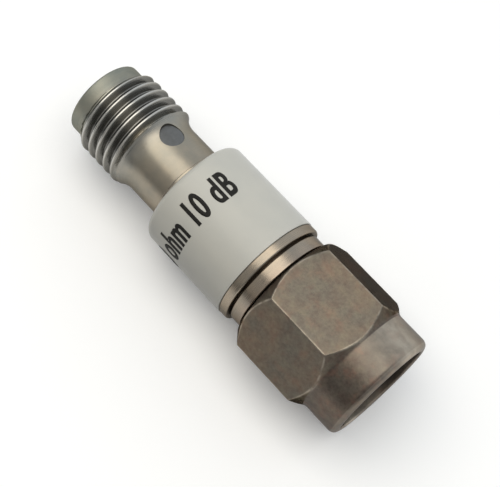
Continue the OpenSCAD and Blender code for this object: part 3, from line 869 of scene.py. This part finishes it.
def nut_marks(angles, rows, outer_wear, per_corner, rim_corners):
    """Edge rubbing and painted highlight of each point of the nut, and its share of painted shade inside."""
    rim_from = len(outer_wear)
    rim_to = rim_from + per_corner * rim_corners
    wear_and_highlight = np.zeros((rows, len(angles)))
    wear_and_highlight[:rim_from] = outer_wear
    # Painted highlight: the skirt's foot and the rim are painted brighter on one side; the rim also keeps a
    # little real rubbing all round
    lit_share = painted_highlight_side(angles, HIGHLIGHT_SIDE, HIGHLIGHT_SPREAD)
    skirt_rows = slice(rim_from - FOOT_ROWS, rim_from + per_corner)
    wear_and_highlight[skirt_rows] = np.maximum(wear_and_highlight[skirt_rows], SKIRT_HIGHLIGHT * lit_share)
    wear_and_highlight[rim_from + per_corner:rim_to - 1] = RIM_WEAR_AND_HIGHLIGHT * (RIM_WEAR_LEAST + (1 - RIM_WEAR_LEAST) * lit_share)
    # Painted shade: the mouth wall, the thread and the bore are marked to be painted darker
    inside = np.zeros_like(wear_and_highlight)
    inside[rim_to:-2 * per_corner] = 1.0
    # Painted highlight: a glint painted on one side of the mouth's inner edge, which lifts the painted shade
    # there
    lit_share = painted_highlight_side(angles, MOUTH_GLINT_SIDE, MOUTH_GLINT_SPREAD)
    mouth_rows = slice(rim_to - per_corner, rim_to + per_corner)
    inside[mouth_rows] *= 1 - lit_share
    wear_and_highlight[mouth_rows] = np.maximum(wear_and_highlight[mouth_rows], RIM_WEAR_AND_HIGHLIGHT * lit_share)
    return {"wear_and_highlight": wear_and_highlight, "inside": inside}


def nut_rows(angles):
    """All rings of the nut, round its closed section, with their marks."""
    rim, mouth, thread_ends, bore = nut_corners()
    corners = rim + mouth + thread_ends + bore
    section = rounded_section(corners, steps=5)
    per_corner = len(section) // len(corners)
    split = per_corner * len(rim + mouth)
    resume = split + per_corner * len(thread_ends)
    plain_x = at_every_angle(section[:, 0], angles)
    plain_r = at_every_angle(section[:, 1], angles)
    outer_x, outer_r, outer_wear = nut_outer(angles)
    thread_x, thread_r = nut_thread(angles)
    x = np.vstack([outer_x, plain_x[:split], thread_x, plain_x[resume:]])
    r = np.vstack([outer_r, plain_r[:split], thread_r, plain_r[resume:]])
    return x, r, nut_marks(angles, len(x), outer_wear, per_corner, len(rim))


def build_nut():
    """Nut with one finish on the hexagon and another on the skirt."""
    angles = hex_angles()
    x, r, marks = nut_rows(angles)
    nut = ring_piece("coupling_nut_turned", x, r, angles, nut_finish, "nut", "coupling_nut")
    mark_points(nut, marks)
    nut.data.materials.append(skirt_finish)
    for face in nut.data.polygons:
        face.material_index = int(along(face.center.x) > NUT_START + HEX_LEN)


# Print
def print_mesh():
    """Flat words as a mesh in millimetres, with the first letter at zero."""
    words = bpy.data.curves.new("print_words", "FONT")
    words.body = PRINT_WORDS
    words.space_character = PRINT_SPACING
    written = new_object("print_words", words)
    bpy.context.view_layer.update()
    outline = written.to_curve(bpy.context.evaluated_depsgraph_get()).copy()
    bpy.data.objects.remove(written)
    outline.transform(Matrix.Diagonal((PRINT_NARROWING, 1, 1, 1)))
    outline.offset = PRINT_BOLDNESS
    flat = new_object("print_flat", outline)
    mesh = evaluated_mesh(flat)
    bpy.data.objects.remove(flat)
    mesh.transform(Matrix.Scale(PRINT_HEIGHT / max(v.co.y for v in mesh.vertices), 4))
    return mesh


def build_print():
    """Cuts the words finely enough to bend, bends them round the sleeve and gives them a thin body."""
    work = bmesh.new()
    work.from_mesh(print_mesh())
    bmesh.ops.remove_doubles(work, verts=work.verts, dist=PRINT_WELD)
    for _ in range(PRINT_CUTS):
        long_edges = [e for e in work.edges if e.calc_length() > PRINT_EDGE]
        bmesh.ops.subdivide_edges(work, edges=long_edges, cuts=1)
        bmesh.ops.triangulate(work, faces=work.faces)
    bmesh.ops.dissolve_degenerate(work, edges=work.edges, dist=PRINT_WELD)
    top = bmesh.ops.extrude_face_region(work, geom=work.faces[:])["geom"]
    raised = {v for v in top if isinstance(v, bmesh.types.BMVert)}
    width = max(v.co.x for v in work.verts)
    for v in work.verts:
        angle = math.radians(PRINT_END_ANGLE) + (width - v.co.x) / SLEEVE_R
        r = SLEEVE_R + (PRINT_T if v in raised else -PRINT_T)
        v.co = Vector(ring_grid(PRINT_BASELINE - v.co.y, r, angle))
    bmesh.ops.recalc_face_normals(work, faces=work.faces)
    mesh = bpy.data.meshes.new("sleeve_print")
    work.to_mesh(mesh)
    work.free()
    mesh.materials.append(print_finish)
    words = new_object("sleeve_print", mesh)
    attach(words, "body")


# Stage
def build_floor():
    """White, faintly glowing floor for the eye and for reflections, which throws back less diffuse light."""
    material, shader = new_material("floor_pale", 0.0, FLOOR_ROUGH)
    ray = add_node(material, "ShaderNodeLightPath")
    seen = math_node(material, "MAXIMUM", ray.outputs["Is Camera Ray"], ray.outputs["Is Glossy Ray"])
    seen = math_node(material, "MAXIMUM", seen, ray.outputs["Is Transmission Ray"])
    join(material, mix_colours(material, seen, FLOOR_BOUNCE, FLOOR_WHITE), shader.inputs["Base Color"])
    shader.inputs["Specular IOR Level"].default_value = 0.0
    shader.inputs["Emission Color"].default_value = (*FLOOR_WHITE, 1.0)
    join(material, math_node(material, "MULTIPLY", seen, FLOOR_GLOW), shader.inputs["Emission Strength"])
    bpy.ops.mesh.primitive_plane_add(size=FLOOR_SIZE)
    floor = bpy.context.object
    floor.name = "floor"
    floor.data.materials.append(material)


def build_world():
    """Sky that brightens from the -Y side to the +Y side."""
    world = bpy.data.worlds.new("studio")
    bpy.context.scene.world = world
    world.use_nodes = True
    share = spread(world, place_axes(world, "Generated")["Y"], -1.0, 1.0, 0.0, 1.0)
    sky = ramp(world, share, [(0.0, SKY_DARK_SIDE), (1.0, SKY_LIGHT_SIDE)])
    join(world, sky, world.node_tree.nodes["Background"].inputs["Color"])


def add_softbox(name, place, width, depth, radiance, colour):
    """Rectangular soft light of a given radiance that faces the part."""
    data = bpy.data.lights.new(name, "AREA")
    data.shape = "RECTANGLE"
    data.size = width
    data.size_y = depth
    data.energy = radiance * math.pi * width * depth
    data.color = colour
    lamp = new_object(name, data)
    lamp.location = place
    lamp.rotation_mode = "QUATERNION"
    lamp.rotation_quaternion = (Vector(SOFTBOX_AIM) - Vector(place)).to_track_quat("-Z", "Y")
    lamp.visible_camera = False


def build_camera():
    """Camera at the photograph's place and angle."""
    data = bpy.data.cameras.new("camera")
    data.sensor_fit = "HORIZONTAL"
    data.sensor_width = SENSOR_W
    data.lens = FOCAL_PIXELS / IMAGE_W * SENSOR_W
    data.clip_start, data.clip_end = CAMERA_CLIP
    camera = new_object("camera", data)
    side = CAMERA_FORWARD.cross(CAMERA_UP).normalized()
    up = side.cross(CAMERA_FORWARD).normalized()
    turn = Matrix((side, up, -CAMERA_FORWARD)).transposed()
    camera.matrix_world = Matrix.Translation(CAMERA_PLACE) @ turn.to_4x4()
    bpy.context.scene.camera = camera


build_jack_shell()
build_housing()
build_sleeve()
build_plug_body()
build_nut()
build_print()
build_floor()
build_world()
for name, settings in SOFTBOXES.items():
    add_softbox(name, **settings)
build_camera()
bpy.context.scene.view_settings.view_transform = "Standard"
